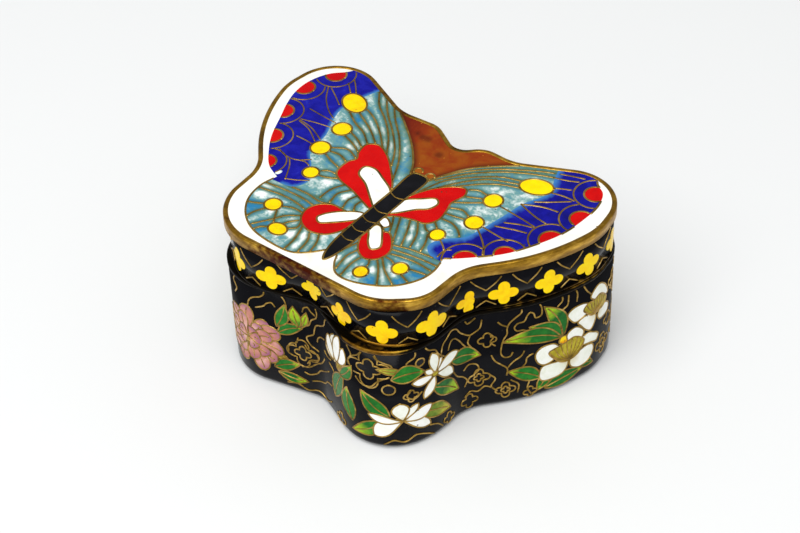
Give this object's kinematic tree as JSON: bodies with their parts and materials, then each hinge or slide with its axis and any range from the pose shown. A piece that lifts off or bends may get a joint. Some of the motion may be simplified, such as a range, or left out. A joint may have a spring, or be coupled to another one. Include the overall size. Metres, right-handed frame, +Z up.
{
  "type": "cloisonne enamel box",
  "caption": "Small butterfly-shaped box with a lift-off lid, in cloisonne enamel with soldered brass edges, for holding trinkets.",
  "frame": {"origin": "on the surface it stands on, under the middle of the box", "axes": "+X to the butterfly's right wing, the longest extent; +Y towards the butterfly's head; +Z up"},
  "size_m": [0.076, 0.0546, 0.0364],
  "materials": {
    "base_enamel": "glossy black cloisonne enamel with flowers and brass wire",
    "lid_enamel": "glossy white cloisonne enamel with a butterfly in brass wire",
    "brass_edges": "hand polished, tarnished in places"
  },
  "bodies": {
    "root": {"base": "base_enamel", "base_mouth_rim": "brass_edges", "lid": "lid_enamel", "lid_foot_edge": "brass_edges", "lid_crown_band": "brass_edges"}
  },
  "joints": []
}
